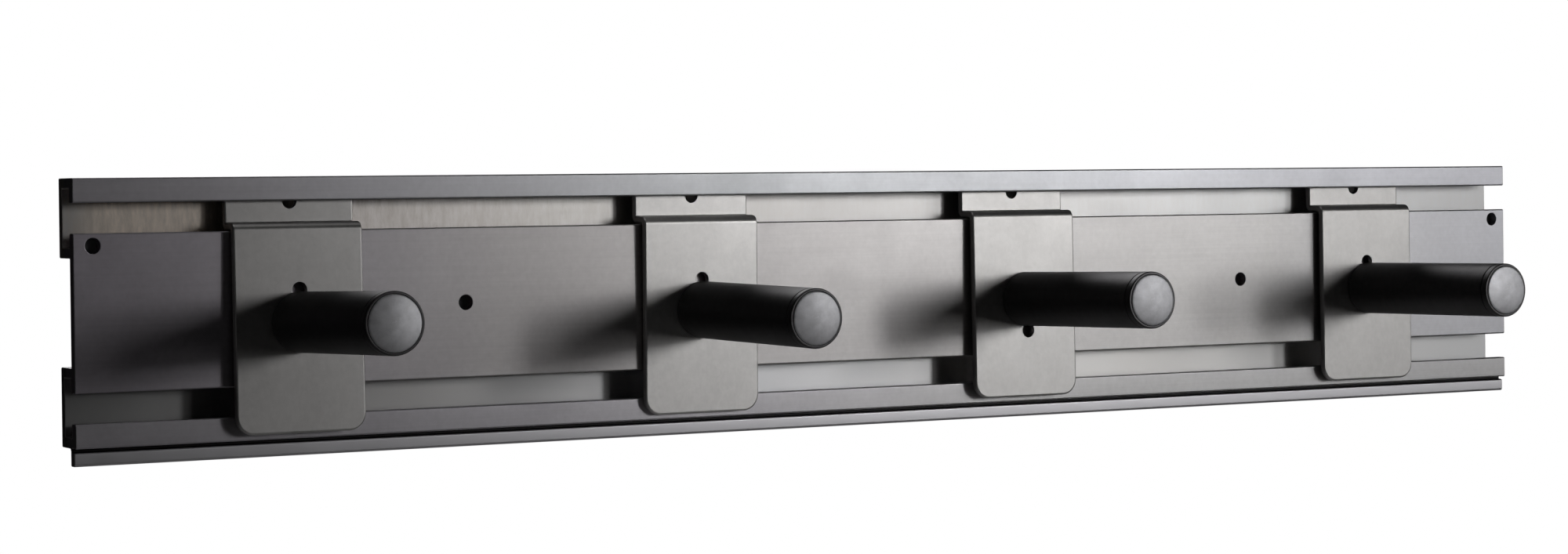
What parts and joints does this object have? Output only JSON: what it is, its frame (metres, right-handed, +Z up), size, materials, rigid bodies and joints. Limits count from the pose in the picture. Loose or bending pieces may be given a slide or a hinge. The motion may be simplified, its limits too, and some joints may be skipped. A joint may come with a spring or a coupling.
{
  "type": "wall hook rack",
  "caption": "Extruded wall rail with two T-slot channels, carrying sliding bent-plate hooks with round capped pegs, screwed to a wall through open holes.",
  "frame": {"origin": "centre, along the rail, of the upper channel's rear face, which lies flat on the wall", "axes": "+X to the right along the rail, +Y out of the rear face into the wall, +Z up; the pegs point along -Y"},
  "size_m": [0.762, 0.1246, 0.1164],
  "materials": {
    "rail_satin_anodised": "satin anodised grey, drawn along the rail",
    "bracket_satin": "satin grey plate",
    "peg_dark_satin": "dark satin tube",
    "ring_dark_satin": "dark satin ring",
    "cap_brushed": "brushed, slightly mottled disc",
    "plug_plain_aluminium": "plain turned",
    "screw_zinc_plated": "zinc plated"
  },
  "bodies": {
    "rail_body": {"rail": "rail_satin_anodised"},
    "hook_1": {"hook_1_bracket": "bracket_satin", "hook_1_peg_tube": "peg_dark_satin", "hook_1_root_plug": "plug_plain_aluminium", "hook_1_root_screw": "screw_zinc_plated", "hook_1_trim_ring": "ring_dark_satin", "hook_1_end_cap": "cap_brushed"},
    "hook_2": {"hook_2_bracket": "bracket_satin", "hook_2_peg_tube": "peg_dark_satin", "hook_2_root_plug": "plug_plain_aluminium", "hook_2_root_screw": "screw_zinc_plated", "hook_2_trim_ring": "ring_dark_satin", "hook_2_end_cap": "cap_brushed"},
    "hook_3": {"hook_3_bracket": "bracket_satin", "hook_3_peg_tube": "peg_dark_satin", "hook_3_root_plug": "plug_plain_aluminium", "hook_3_root_screw": "screw_zinc_plated", "hook_3_trim_ring": "ring_dark_satin", "hook_3_end_cap": "cap_brushed"},
    "hook_4": {"hook_4_bracket": "bracket_satin", "hook_4_peg_tube": "peg_dark_satin", "hook_4_root_plug": "plug_plain_aluminium", "hook_4_root_screw": "screw_zinc_plated", "hook_4_trim_ring": "ring_dark_satin", "hook_4_end_cap": "cap_brushed"}
  },
  "joints": [
    {"name": "hook_1_slide", "type": "slide", "parent": "rail_body", "child": "hook_1", "axis": [1, 0, 0], "range_m": [-0.0532, 0.0446]},
    {"name": "hook_2_slide", "type": "slide", "parent": "rail_body", "child": "hook_2", "axis": [1, 0, 0], "range_m": [-0.0799, 0.0572]},
    {"name": "hook_3_slide", "type": "slide", "parent": "rail_body", "child": "hook_3", "axis": [1, 0, 0], "range_m": [-0.0572, 0.0989]},
    {"name": "hook_4_slide", "type": "slide", "parent": "rail_body", "child": "hook_4", "axis": [1, 0, 0], "range_m": [-0.0432, 0.0546]}
  ]
}
